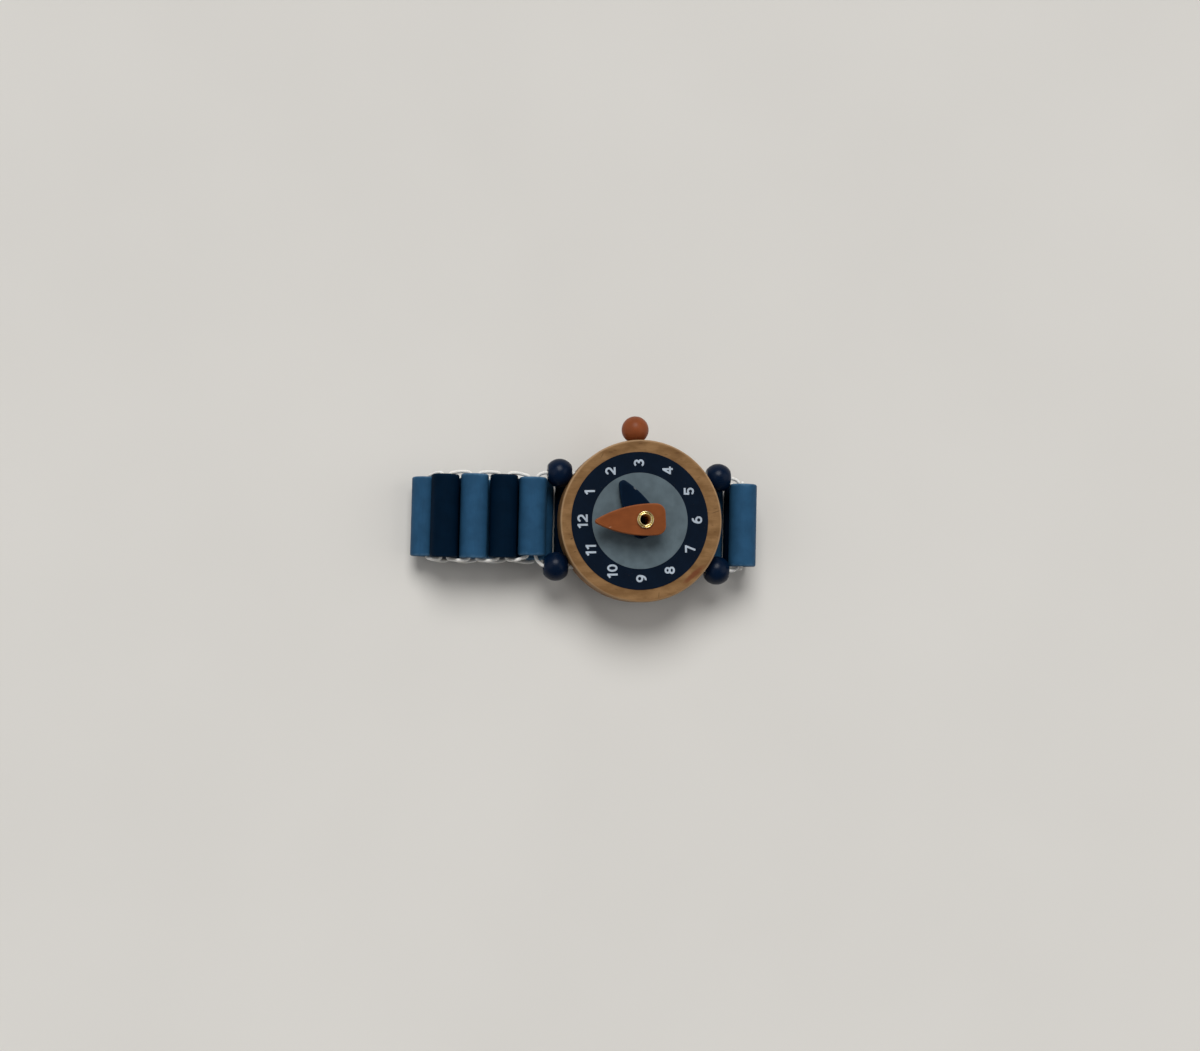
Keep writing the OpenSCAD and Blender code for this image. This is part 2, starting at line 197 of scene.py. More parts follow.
class Finish(Bench):
    """A material round one Principled shader, with patterns measured in millimetres."""

    def __init__(self, name, constants):
        self.material = bpy.data.materials.new(name)
        self.material.use_nodes = True
        super().__init__(self.material.node_tree)
        self.tree.nodes.clear()
        self.shader = self.tree.nodes.new("ShaderNodeBsdfPrincipled")
        self.node("ShaderNodeOutputMaterial", {}, {"Surface": Wire(self, self.shader.outputs[0])})
        for socket, value in constants.items():
            self.shader.inputs[socket].default_value = value
        self.coords = self.node("ShaderNodeTexCoord", out="Object")

    def place(self, unit=(1, 1, 1), centre=(0, 0, 0), turn=(0, 0, 0)):
        return self.node("ShaderNodeMapping", {"vector_type": "TEXTURE"}, {
            "Vector": self.coords, "Location": [x * MM for x in centre],
            "Rotation": [math.radians(x) for x in turn], "Scale": [x * MM for x in unit]})

    def noise(self, where, scale=1.0, detail=2.0, rough=0.5):
        return self.node("ShaderNodeTexNoise", {}, {
            "Vector": where, "Scale": scale, "Detail": detail, "Roughness": rough})

    def cells(self, where, scale=1.0):
        return self.node("ShaderNodeTexVoronoi", {}, {"Vector": where, "Scale": scale}, out="Distance")

    def length(self, where):
        return self.node("ShaderNodeVectorMath", {"operation": "LENGTH"}, {0: where}, out="Value")

    def ease(self, value, low, high):
        """0 below low, 1 above high and a smooth step between; low above high turns it round."""
        start, end = (0.0, 1.0) if low < high else (1.0, 0.0)
        return self.node("ShaderNodeMapRange", {"interpolation_type": "SMOOTHSTEP"}, {
            "Value": value, "From Min": min(low, high), "From Max": max(low, high),
            "To Min": start, "To Max": end})

    def mix(self, share, first, second):
        return self.node("ShaderNodeMix", {"data_type": "RGBA"}, {0: share, 6: first, 7: second}, out=2)

    def wear(self):
        """How worn the mesh says a point is, from 0 to 1; the same mask places a painted highlight on edges.
        """
        return self.node("ShaderNodeAttribute", {"attribute_name": "wear"}, out="Fac")

    def feed(self, colour, roughness, height):
        """Links the three patterns that every finish has. The height is in millimetres."""
        bump = self.node("ShaderNodeBump", {}, {"Strength": 1.0, "Distance": MM, "Height": height})
        for socket, wire in (("Base Color", colour), ("Roughness", roughness), ("Normal", bump)):
            self.tree.links.new(wire.socket, self.shader.inputs[socket])
        print(self.material.name, "has", len(self.tree.nodes), "nodes")
        return self.material


# %% [markdown]
# ## Beech
#
# The case is a disc of beech with the grain running from 12 to 6. Beech is told by its short dark rays:
# thin spindles about a millimetre long. Stretched cells give those, stretched noise gives the finer
# fibre lines, and slow noise gives the lighter and darker zones. One reddish streak crosses the rim
# between 7 and 8, a few fine dark checks open along the grain, a painted highlight makes the rounded
# outer edge of the top paler, and the faint rings are the marks that a lathe leaves.


# %% Beech finish
rim_checks = [((17.6, 2.6, 0), (1.5, 0.11, 40), 18), ((17.3, 3.3, 0), (0.7, 0.09, 40), 10),
              ((-16.3, -4.6, 0), (0.45, 0.2, 40), 30), ((-15.4, -7.6, 0), (0.5, 0.12, 40), 20),
              ((4.4, -17.2, 0), (0.9, 0.1, 40), 86), ((-9.6, 15.0, 0), (0.8, 0.1, 40), 62)]


def bare_beech(name, turn=(0, 0, 0), checks=()):
    wood = Finish(name, {"Specular IOR Level": 0.15})
    zones = wood.noise(wood.place((5.0, 2.2, 2.2), turn=turn), detail=3.0)
    fibres = wood.noise(wood.place((2.4, 0.24, 0.24), turn=turn), detail=3.0, rough=0.6)
    rays = wood.ease(wood.cells(wood.place((2.6, 0.8, 0.8), turn=turn)) + 0.3 * zones, 0.36, 0.24)
    pores = wood.ease(wood.cells(wood.place((0.8, 0.3, 0.3), turn=turn)), 0.22, 0.1)
    band = wood.place((3.6, 0.8, 40.0), centre=(12.5, -12.3, 0), turn=(0, 0, 42))
    streak = wood.ease(wood.length(band) + 0.9 * (zones - 0.5) + 0.5 * (fibres - 0.5), 1.15, 0.35)
    radius, depth = wood.length(wood.place((1, 1, 1e6))), wood.length(wood.place((1e6, 1e6, 1)))
    # painted highlight: a paler band on the rounded outer edge of the top face, where light catches it
    painted_rim_highlight = wood.ease(radius, 18.45, 18.85) * wood.ease(depth, 1.0, 0.3)
    colour = wood.mix(wood.ease(zones, 0.3, 0.7), tone(113, 81, 46), tone(140, 106, 68))
    colour = wood.mix(wood.ease(fibres, 0.45, 0.75) * 0.4, colour, tone(103, 72, 42))
    colour = wood.mix(rays * 0.5, colour, tone(84, 55, 30))
    colour = wood.mix(pores * 0.3, colour, tone(92, 63, 37))
    colour = wood.mix(streak * 0.85, colour, tone(104, 54, 28))
    for centre, size, heading in checks:
        crack = wood.length(wood.place(size, centre=centre, turn=(0, 0, heading)))
        colour = wood.mix(wood.ease(crack + 0.6 * (fibres - 0.5), 1.0, 0.4) * 0.7, colour, tone(58, 36, 18))
    colour = wood.mix(painted_rim_highlight * 0.55, colour, tone(176, 146, 112))
    height = 0.012 * fibres - 0.012 * rays - 0.008 * pores + 0.0012 * (radius * 18.0).sine()
    return wood.feed(colour, 0.45 + 0.18 * fibres + 0.1 * rays, height)


case_beech = bare_beech("case_beech", checks=rim_checks)
peg_beech = bare_beech("peg_beech", turn=(0, 0, 90))

# %% [markdown]
# ## Printed ink
#
# The dial is screen printed straight on the wood: a navy ring, a blue-grey centre and pale figures. Ink
# that thin follows the fibres under it, so the grain stays as a faint relief and a change of tone, with a
# few pinholes. A flat colour would look like a plastic sticker.


# %% Ink finishes
def printed_ink(name, colour, cover):
    ink = Finish(name, {"Specular IOR Level": 0.05})
    fibres = ink.noise(ink.place((0.22, 3.2, 0.22)), detail=3.0, rough=0.6)
    clouds = ink.noise(ink.place((3.0, 3.0, 3.0)), detail=2.0)
    screen = ink.noise(ink.place((0.13, 0.13, 0.13)), detail=1.0)
    pinholes = ink.ease(ink.cells(ink.place((0.8, 0.8, 0.8))), 0.09, 0.04)
    base = ink.mix(ink.ease(clouds, 0.3, 0.7), shade(colour, 0.88), shade(colour, 1.1))
    base = ink.mix(ink.ease(fibres, 0.5, 0.75) * 0.5, base, shade(colour, cover))
    base = ink.mix(ink.ease(screen, 0.55, 0.8) * 0.35, base, shade(colour, 1.18))
    base = ink.mix(pinholes * 0.3, base, tone(112, 88, 62))
    return ink.feed(base, 0.55 + 0.15 * screen, 0.006 * fibres + 0.003 * screen - 0.006 * pinholes)


navy_ink = printed_ink("navy_ink", tone(6, 19, 34), 0.75)
grey_ink = printed_ink("grey_ink", tone(89, 102, 108), 0.9)
pale_ink = printed_ink("pale_ink", tone(170, 181, 192), 0.9)

# %% [markdown]
# ## Painted wood
#
# The rods, beads, hands and crown are dipped in paint. The rods and hands dry almost matt, the beads keep
# some gloss. Paint pulls thin on edges, so they are a little lighter there, and that lighter colour also
# stands for a painted highlight where light catches the edges. The mesh carries that as an attribute,
# worked out when a piece is made, because only the mesh knows where its edges are.
# The fibres run along each piece, a slow lumpy relief stands for the dried coat, and a chip is a small
# place, listed one by one, where the bare wood shows.


# %% Paint finishes
def painted_wood(name, colour, thin_paint_and_highlight, gloss, shine, unit, turn=(0, 0, 0), chips=()):
    paint = Finish(name, {"Specular IOR Level": shine})
    fibres = paint.noise(paint.place(unit, turn=turn), detail=3.0, rough=0.6)
    clouds = paint.noise(paint.place((3.2, 3.2, 3.2)), detail=2.0)
    lumps = paint.noise(paint.place((0.9, 0.9, 0.9)), detail=1.0)
    nibs = paint.ease(paint.cells(paint.place((1.7, 1.7, 1.7))), 0.06, 0.02)
    # painted highlight and worn paint: edges take the lighter colour, both where paint wears thin and where
    # light catches them
    edge = paint.ease(paint.wear() + 0.5 * (clouds - 0.5) + 0.5 * (lumps - 0.5), 0.35, 1.0)
    base = paint.mix(paint.ease(clouds, 0.3, 0.7), shade(colour, 0.9), shade(colour, 1.1))
    base = paint.mix(paint.ease(fibres, 0.5, 0.72) * 0.35, base, shade(colour, 0.78))
    base = paint.mix(edge * 0.5, base, thin_paint_and_highlight)
    rough = gloss + 0.16 * (fibres - 0.5) + 0.1 * (lumps - 0.5) - 0.06 * edge
    height = 0.007 * fibres + 0.012 * lumps + 0.008 * nibs
    for centre, size, heading, bare_colour in chips:
        spot = paint.length(paint.place(size, centre=centre, turn=(0, 0, heading)))
        bare = paint.ease(spot + 1.2 * (lumps - 0.5), 1.0, 0.75)
        base = paint.mix(bare * 0.8, base, bare_colour)
        rough, height = rough + 0.2 * bare, height - 0.03 * bare
    return paint.feed(base, rough, height)


ALONG_X, ALONG_Y = (4.0, 0.3, 0.3), (0.3, 4.0, 0.3)
rod_paints = [painted_wood("navy_rod_paint", tone(3, 21, 38), tone(16, 36, 56), 0.5, 0.02, ALONG_Y),
              painted_wood("light_blue_rod_paint", tone(37, 75, 105), tone(92, 128, 156), 0.5, 0.06, ALONG_Y)]
bead_paint = painted_wood("navy_bead_paint", tone(3, 20, 42), tone(16, 38, 64), 0.3, 0.12, ALONG_X)
crown_paint = painted_wood("orange_crown_paint", tone(126, 66, 36), tone(156, 94, 58), 0.36, 0.12, ALONG_Y)

# %% [markdown]
# ## Brass and covered elastic
#
# The rivet is thin rolled brass: bright on its rims, with fine scratches that run round it, and brown with
# tarnish in its bore, where no finger polishes it. The elastic is a white rubber thread in a braided
# cover. The braid has to follow the cord round each bend, so the cord's mesh carries two attributes, the
# length along it and the direction round it, and two sets of crossing waves on those make the yarns.
# The grooves between the yarns are painted darker as painted shade, and their crests lighter as painted
# highlight.

# %% Brass finish
brass = Finish("rolled_brass", {})
radius = brass.length(brass.place((1, 1, 1e6)))
scratches = brass.noise(brass.node("ShaderNodeCombineXYZ", {}, {"X": radius * 30.0}), detail=3.0)
stain = brass.noise(brass.place((0.8, 0.8, 0.8)), detail=3.0)
inside = brass.ease(radius, 1.24, 1.2)
brass_colour = brass.mix(brass.ease(stain, 0.35, 0.7), tone(240, 226, 176), tone(222, 200, 142))
brass_colour = brass.mix(inside * 0.9, brass_colour, tone(196, 146, 92))
brass.tree.links.new((1.0 - 0.8 * inside).socket, brass.shader.inputs["Metallic"])
brass.feed(brass_colour, 0.16 + 0.06 * scratches + 0.04 * stain + 0.3 * inside, 0.0015 * scratches)

# %% Elastic finish
cover = Finish("braided_elastic", {"Specular IOR Level": 0.2, "Subsurface Weight": 0.15,
                                   "Subsurface Radius": (0.0006, 0.0005, 0.0004), "Sheen Weight": 0.2})
along = cover.node("ShaderNodeAttribute", {"attribute_name": "along"}, out="Fac")
around = cover.node("ShaderNodeAttribute", {"attribute_name": "around"}, out="Vector")
side, front = cover.node("ShaderNodeSeparateXYZ", {}, {0: around}, out=("Y", "X"))
angle = side.math("ARCTAN2", side, front)
yarns = [(6.0 * angle + way * 9.0e3 * along).sine() for way in (1.0, -1.0)]
braid_and_groove_shade = yarns[0].math("MAXIMUM", *yarns)
fuzz = cover.noise(cover.place((0.15, 0.15, 0.15)), detail=2.0)
# painted shade and highlight: the grooves between the yarns are darker and their crests lighter
cover_colour = cover.mix(cover.ease(braid_and_groove_shade, -0.6, 0.5), tone(196, 192, 184), tone(232, 230, 225))
cover_colour = cover.mix(cover.ease(fuzz, 0.5, 0.8) * 0.4, cover_colour, tone(240, 238, 234))
cover.feed(cover_colour, 0.55 + 0.2 * fuzz, 0.014 * braid_and_groove_shade + 0.006 * fuzz)

# %% [markdown]
# ## A lathe made of nodes
#
# Rods, beads, crown and rivet are all turned: one outline swept round an axis. They could be spun with
# bmesh, but a small Geometry Nodes tree does it for any outline, and the same tree then serves every
# turned piece. The outline is a curve of radius and height. Curve to Mesh sweeps it round a circle, and
# Merge by Distance closes the poles. The result is turned into a plain mesh, so no modifier stays.


# %% Lathe tree
def new_tree(name, inputs):
    tree = bpy.data.node_groups.new(name, "GeometryNodeTree")
    for label, kind in inputs:
        tree.interface.new_socket(label, in_out="INPUT", socket_type="NodeSocket" + kind)
    tree.interface.new_socket("Geometry", in_out="OUTPUT", socket_type="NodeSocketGeometry")
    bench = Bench(tree)
    given = bench.tree.nodes.new("NodeGroupInput")
    return bench, {label: Wire(bench, given.outputs[label]) for label, _ in inputs}


def close_tree(bench, geometry, finish):
    real = bench.node("GeometryNodeRealizeInstances", {}, {0: geometry})
    smooth = bench.node("GeometryNodeSetShadeSmooth", {}, {0: real})
    done = bench.node("GeometryNodeSetMaterial", {}, {"Geometry": smooth, "Material": finish})
    bench.node("NodeGroupOutput", {}, {"Geometry": done})
    return bench.tree


bench, given = new_tree("turned_on_a_lathe", [("Outline", "Geometry"), ("Turns", "Int"),
                                              ("Finish", "Material")])
ring = bench.node("GeometryNodeCurvePrimitiveCircle", {}, {"Resolution": given["Turns"], "Radius": 1.0})
moved = bench.node("GeometryNodeTransform", {}, {"Geometry": given["Outline"], "Translation": (-1, 0, 0)})
swept = bench.node("GeometryNodeCurveToMesh", {}, {"Curve": ring, "Profile Curve": moved})
stood = bench.node("GeometryNodeTransform", {}, {"Geometry": swept, "Rotation": (math.pi, 0, 0)})
welded = bench.node("GeometryNodeMergeByDistance", {}, {"Geometry": stood, "Distance": 1e-4})
lathe = close_tree(bench, welded, given["Finish"])
print(lathe.name, "has", len(lathe.nodes), "nodes")


# %% From a curve and a tree to a plain piece
def drawn(name, *lines, closed=False):
    """A curve object of lines of points, which are kept in millimetres until the piece is made."""
    curve = bpy.data.curves.new(name, "CURVE")
    curve.dimensions = "3D"
    for points in lines:
        spline = curve.splines.new("POLY")
        spline.points.add(len(points) - 1)
        for point, place in zip(spline.points, points):
            point.co = (*place, *(0,) * (3 - len(place)), 1)
        spline.use_cyclic_u = closed
    holder = bpy.data.objects.new(name, curve)
    bpy.context.scene.collection.objects.link(holder)
    return holder


def made(holder, tree, sizes, at=Matrix.Identity(4)):
    """The plain mesh that a tree makes from a holder's curve, in metres and in its place."""
    modifier = holder.modifiers.new(tree.name, "NODES")
    modifier.node_group = tree
    for socket in tree.interface.items_tree:
        if socket.in_out == "INPUT" and socket.name in sizes:
            modifier[socket.identifier] = sizes[socket.name]
    depsgraph = bpy.context.evaluated_depsgraph_get()
    mesh = bpy.data.meshes.new_from_object(
        holder.evaluated_get(depsgraph), preserve_all_data_layers=True, depsgraph=depsgraph)
    name = holder.name
    bpy.data.objects.remove(holder)
    mesh.transform(Matrix.Scale(MM, 4) @ at)
    mesh.set_sharp_from_angle(angle=math.radians(50))
    return placed(name, mesh)


def placed(name, mesh):
    """An object at the origin for a mesh that is already in its place."""
    mesh.name = name
    piece = bpy.data.objects.new(name, mesh)
    bpy.context.scene.collection.objects.link(piece)
    return piece


def joined(name, parts, finish):
    """One piece in place of several made ones."""
    shell = bmesh.new()
    for part in parts:
        shell.from_mesh(part.data)
        bpy.data.objects.remove(part)
    mesh = bpy.data.meshes.new(name)
    shell.to_mesh(mesh)
    shell.free()
    mesh.materials.append(finish)
    return placed(name, mesh)


def arc(centre, radius, start, end, steps):
    """Points on a circle from one angle to another, in degrees. Two radii make it an oval."""
    wide, high = radius if isinstance(radius, tuple) else (radius, radius)
    turns = [math.radians(start + (end - start) * i / steps) for i in range(steps + 1)]
    return [(centre[0] + wide * math.cos(a), centre[1] + high * math.sin(a)) for a in turns]


def mark_wear(piece, worn_and_lit):
    """Stores how worn each point is, which also places a painted highlight on the edges. The given function
    takes a point in millimetres and gives 0 to 1.
    """
    values = [max(0.0, min(1.0, worn_and_lit(v.co / MM))) for v in piece.data.vertices]
    piece.data.attributes.new("wear", "FLOAT", "POINT").data.foreach_set("value", values)


def settle(piece, body, nodes, slot):
    """Joins a finished piece to its body, in place of the nodes that it stands for."""
    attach(piece, body)
    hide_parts(*nodes)


# %% [markdown]
# ## The strap rods
#
# Seventeen dowels, light blue and navy in turn, make the strap. Each was cut, tumbled so that its ends
# are round, drilled for the elastic and dipped. No two are quite the same length, and each has slipped a
# little along the elastic, so lengths differ by up to about a millimetre and places by some tenths, with the
# visible rods as they look in the strap. One outline function and the lathe tree make them all.

# %% Rods
ROD_EDGE, ROD_BORE, ROD_MOUTH = 0.5, 2.8, 0.4
ROD_LONG, ROD_SPREAD = 18.9, 0.2
ROD_WORN_LIT_IN, ROD_WORN_LIT_OVER = 0.25, 0.7
rod_lengths = {1: 18.4, 2: 19.5, 3: 19.7, 4: 19.4, 5: 18.7, 17: 19.6}
rod_slips = {1: 0.6, 2: 0.45, 3: 0.3, 4: 0.18, 5: 0.1}


def dowel_outline(width, long, edge, bore, mouth):
    """Radius and height round a drilled rod with rounded ends and bore mouths."""
    out, half, inn = width / 2 - edge, long / 2, bore / 2 + mouth
    side = [(width / 2, 3 * edge - half), (width / 2, half - 3 * edge)]
    return (arc((out, edge - half), edge, -90, 0, 7) + side + arc((out, half - edge), edge, 0, 90, 7)
            + arc((inn, half - mouth), mouth, 90, 180, 5) + arc((inn, mouth - half), mouth, 180, 270, 5))


rods = {}
for k in range(1, 18):
    name = "rod_%02d" % k
    low, high = (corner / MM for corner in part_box(name))
    middle, width = (low + high) / 2, high.x - low.x
    long = rod_lengths.get(k, ROD_LONG + ROD_SPREAD * math.sin(2.4 * k))
    slip = rod_slips.get(k, ROD_SPREAD * math.sin(1.7 * k))
    holder = drawn(name + "_painted", dowel_outline(width, long, ROD_EDGE, ROD_BORE, ROD_MOUTH), closed=True)
    rod = made(holder, lathe, {"Turns": 72, "Finish": rod_paints[k % 2]},
               Matrix.Translation(middle + Vector((0, slip, 0))) @ Matrix.Rotation(math.radians(-90), 4, "X"))
    # the rounded rod ends are marked for lighter paint: paint worn thin there, and a painted highlight where
    # light catches them
    worn_lit_r, worn_lit_y = width / 2 - ROD_WORN_LIT_IN, long / 2 - ROD_WORN_LIT_IN
    mark_wear(rod, lambda p: 1.0 - ((worn_lit_r - math.hypot(p.x - middle.x, p.z - middle.z)) ** 2
                                    + (worn_lit_y - abs(p.y - slip)) ** 2) ** 0.5 / ROD_WORN_LIT_OVER)
    settle(rod, "link_%02d" % k, [name], "light_blue_paint" if k % 2 else "navy_paint")
    rods[k] = middle, slip + long / 2, long / 2 - slip
print("rods:", len(rods), "faces each:", len(rod.data.polygons))

# %% [markdown]
# ## The lug beads
#
# Four navy beads, two at each end of the case, stand where a watch has its lugs. A bead is a ball with
# two small flats where it is drilled, and tumbling has rounded the rims of the flats. The outline is the
# ball's arc, a small arc that touches both the ball and the flat, and the bore.


# %% Beads
def bead_outline(ball, long, rim, bore, mouth):
    reach = ball / 2 - rim
    rim_h = long / 2 - rim
    rim_r = math.sqrt(reach ** 2 - rim_h ** 2)
    turn = math.degrees(math.atan2(rim_h, rim_r))
    inn = bore / 2 + mouth
    return (arc((rim_r, -rim_h), rim, -90, -turn, 6)[:-1] + arc((0, 0), ball / 2, -turn, turn, 26)
            + arc((rim_r, rim_h), rim, turn, 90, 6)[1:]
            + arc((inn, long / 2 - mouth), mouth, 90, 180, 4)
            + arc((inn, mouth - long / 2), mouth, 180, 270, 4))


BEAD_RIM, BEAD_BORE, BEAD_MOUTH, BEAD_WORN_LIT_IN, BEAD_WORN_LIT_OVER = 0.7, 1.3, 0.3, 0.15, 0.5
bead_slips = {"bead_12_far_side": -0.45}
for end, body in (("12", "lug_12"), ("6", "link_17")):
    for side_name in ("crown_side", "far_side"):
        name = "bead_%s_%s" % (end, side_name)
        low, high = (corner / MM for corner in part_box(name))
        middle = (low + high) / 2 + Vector((bead_slips.get(name, 0.0), 0, 0))
        ball, long = high.y - low.y, high.x - low.x
        outline = bead_outline(ball, long, BEAD_RIM, BEAD_BORE, BEAD_MOUTH)
        holder = drawn(name + "_painted", outline, closed=True)
        bead = made(holder, lathe, {"Turns": 64, "Finish": bead_paint},
                    Matrix.Translation(middle) @ Matrix.Rotation(math.radians(90), 4, "Y"))
        # the rims of the flats are marked for lighter paint: worn paint and a painted highlight
        mark_wear(bead, lambda p: 1.0 - (long / 2 - BEAD_WORN_LIT_IN - abs(p.x - middle.x)) / BEAD_WORN_LIT_OVER)
        settle(bead, body, [name], "navy_paint")
print("beads in mm:", [round(x, 2) for x in high - low])

# %% [markdown]
# ## The crown
#
# The crown is a ball too, with one flat that sits against the case and a blind hole for its glued peg. Its
# outline starts and ends on the axis, so it is an open curve, and the lathe's merge closes both poles.

# %% Crown
low, high = (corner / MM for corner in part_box("crown"))
ball_d, flat_h, foot, edge_r = 6.39, -2.71, 0.4, 19.03
PEG_R, PEG_DEEP, CROWN_Z, CROWN_WORN_LIT, CROWN_WORN_LIT_OVER = 1.23, 3.03, -4.5, 2.6, 0.5
CROWN_TURN = FACE_TURN + 91.2
foot_r = math.sqrt((ball_d / 2 - foot) ** 2 - (flat_h + foot) ** 2)
foot_turn = math.degrees(math.atan2(flat_h + foot, foot_r))
outline = ([(0, flat_h + PEG_DEEP), (PEG_R, flat_h + PEG_DEEP), (PEG_R, flat_h)]
           + arc((foot_r, flat_h + foot), foot, -90, foot_turn, 6)
           + arc((0, 0), ball_d / 2, foot_turn, 90, 40)[1:])
outline[-1] = (0, ball_d / 2)
crown_axis = Matrix.Rotation(math.radians(CROWN_TURN), 3, "Z") @ Vector((1, 0, 0))
crown_at = Matrix.Translation(Vector((0, 0, CROWN_Z)) + (edge_r - flat_h) * crown_axis)
crown = made(drawn("crown_painted", outline), lathe, {"Turns": 72, "Finish": crown_paint},
             crown_at @ Vector((0, 0, 1)).rotation_difference(crown_axis).to_matrix().to_4x4())
crown_middle = crown_at.translation
# the foot by the case is marked for lighter paint: worn paint and a painted highlight
mark_wear(crown, lambda p: 1.0 - (CROWN_WORN_LIT + (p - crown_middle).dot(crown_axis)) / CROWN_WORN_LIT_OVER)
settle(crown, "case", ["crown"], "orange_paint")
print("crown lies within its solid by mm:",
      [round(x, 3) for x in Vector(crown.bound_box[0]) / MM - low])

# %% [markdown]
# ## The rivet
#
# One hollow brass rivet holds both hands. Its end was rolled over by a press, which leaves a high inner
# lip, a shallow groove and a rounded outer edge. That reads as two bright rings with a dark line between,
# so the outline has all three, and the rear end gets the same roll in its recess.

# %% Rivet
low, high = (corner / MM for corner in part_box("hand_rivet"))


def rolled_lip(top, sign):
    """Half outline of a rolled end, from the shank's outside to its bore."""
    shape = [(1.45, 0.5), (1.78, 0.5), (1.89, 0.44), (1.945, 0.33), (1.95, 0.22), (1.92, 0.11),
             (1.86, 0.04), (1.79, 0.03), (1.73, 0.08), (1.69, 0.18), (1.66, 0.29), (1.625, 0.33),
             (1.59, 0.28), (1.56, 0.16), (1.51, 0.05), (1.43, 0.0), (1.35, 0.01), (1.27, 0.08),
             (1.22, 0.19), (1.2, 0.34)]
    return [(r, top - sign * drop) for r, drop in shape]


outline = rolled_lip(low.z, -1)[::-1] + rolled_lip(high.z, 1)
rivet = made(drawn("rivet_rolled", outline, closed=True), lathe, {"Turns": 72, "Finish": brass.material})
settle(rivet, "case", ["hand_rivet"], "brass")
print("rivet height mm:", round(high.z - low.z, 2))

# %% [markdown]
# ## The hands
#
# Each hand is a thick leaf of wood, sawn to a long drop, drilled, sanded and painted. Its side is three
# arcs that touch: the tip, the long side and the rear corner. A bevel modifier on an extruded face would
# do, but rings of points from the edge to the bore give even faces and know their own distance from the
# edge, which is just what the softened edge needs, and the wear with its painted edge highlight.


# %% Hand maker
def leaf_side(tip, tail, width, tip_r, belly=1.3, corner_r=2.2):
    reach = tip - tip_r + belly
    side_r = (reach ** 2 + (width / 2) ** 2 - tip_r ** 2) / (width - 2 * tip_r)
    side_y = width / 2 - side_r
    tip_turn = math.degrees(math.atan2(-side_y, reach))
    corner_x = corner_r - tail
    rise = math.sqrt((side_r - corner_r) ** 2 - (corner_x + belly) ** 2)
    corner_turn = math.degrees(math.atan2(rise, corner_x + belly))
    return (arc((tip - tip_r, 0), tip_r, 0, tip_turn, 8)
            + arc((-belly, side_y), side_r, tip_turn, corner_turn, 44)[1:]
            + arc((corner_x, side_y + rise), corner_r, corner_turn, 180, 12)[1:])


def sawn_hand(name, sizes, turn, bottom, top, bore_r, finish, soft=0.32):
    half = leaf_side(*sizes)
    edge = [Vector(p) for p in half + [(x, -y) for x, y in half[-1:0:-1]]]
    count = len(edge)
    inward = [(edge[i - 1] - edge[(i + 1) % count]).normalized() for i in range(count)]
    inward = [Vector((-d.y, d.x)) if Vector((-d.y, d.x)).dot(-p) > 0 else Vector((d.y, -d.x))
              for d, p in zip(inward, edge)]
    bore = [bore_r * p.normalized() for p in edge]
    rim = [(0.0, soft)] + [(soft * (1 - math.cos(a)), soft * (1 - math.sin(a)))
                           for a in (math.radians(15 * i) for i in range(1, 7))]
    rings = [([p + d * n for p, n in zip(edge, inward)], drop, d) for d, drop in rim]
    last = rings[-1][0]
    rings += [([p.lerp(q, t) for p, q in zip(last, bore)], 0.0, soft + 2.5 * t)
              for t in (0.12, 0.3, 0.5, 0.75, 1.0)]
    shell = bmesh.new()
    # points near the edge are marked for lighter paint: worn paint and a painted edge highlight
    wear = shell.verts.layers.float.new("wear")
    loops = []
    for sign, level in ((1, top), (-1, bottom)):
        for points, drop, inside in rings if sign > 0 else rings[::-1]:
            loop = [shell.verts.new((p.x, p.y, level - sign * drop)) for p in points]
            for vert in loop:
                vert[wear] = max(0.0, 1.0 - inside / 0.75)
            loops.append(loop)
    loops = loops[len(rings) - 1::-1] + loops[:len(rings) - 1:-1]
    for a, b in zip(loops, loops[1:] + loops[:1]):
        for i in range(count):
            shell.faces.new((a[i], a[(i + 1) % count], b[(i + 1) % count], b[i]))
    bmesh.ops.recalc_face_normals(shell, faces=shell.faces)
    mesh = bpy.data.meshes.new(name)
    shell.to_mesh(mesh)
    shell.free()
    mesh.shade_smooth()
    mesh.set_sharp_from_angle(angle=math.radians(50))
    mesh.transform(Matrix.Scale(MM, 4) @ Matrix.Rotation(math.radians(turn), 4, "Z"))
    mesh.materials.append(finish)
    return placed(name, mesh)


# %% Both hands
HAND_BORE_R = 1.6
for name, sizes, clock, colour, thin_paint_and_highlight, chip, slot in (
        ("minute_hand", (11.5, 4.8, 7.4, 0.6), -1, tone(124, 68, 36), tone(150, 90, 54),
         ((-8.1, -1.95, 5.6), (0.55, 0.18, 0.5), 18, tone(186, 150, 122)), "orange_paint"),
        ("hour_hand", (10.5, 3.8, 7.2, 0.9), 62, tone(1, 17, 35), tone(14, 34, 54),
         ((-2.2, 7.3, 3.1), (0.5, 0.12, 0.5), -40, tone(104, 108, 110)), "navy_paint")):
    low, high = (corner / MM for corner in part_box(name))
    turn = FACE_TURN + 180 - clock
    paint = painted_wood(name + "_paint", colour, thin_paint_and_highlight, 0.5, 0.04, ALONG_X, (0, 0, turn), [chip])
    hand = sawn_hand(name + "_painted", sizes, turn, low.z, high.z, HAND_BORE_R, paint)
    settle(hand, name, [name], slot)
    print(name, "faces:", len(hand.data.polygons), "points along:", round(turn, 1))

# %% [markdown]
# ## The figures
#
# The twelve figures all stand upright towards 12, as on a dial that is read with the strap across the
# arm. They are plain bold figures with flat ends. A font could draw them, but its strokes can't be set to
# the printed width, so each figure is written here as the middle lines of its strokes, and a tree sweeps a
# flat section along them. Strokes that cross lie some thousandths of a millimetre apart in height, because
# two faces in one plane would shade each other.

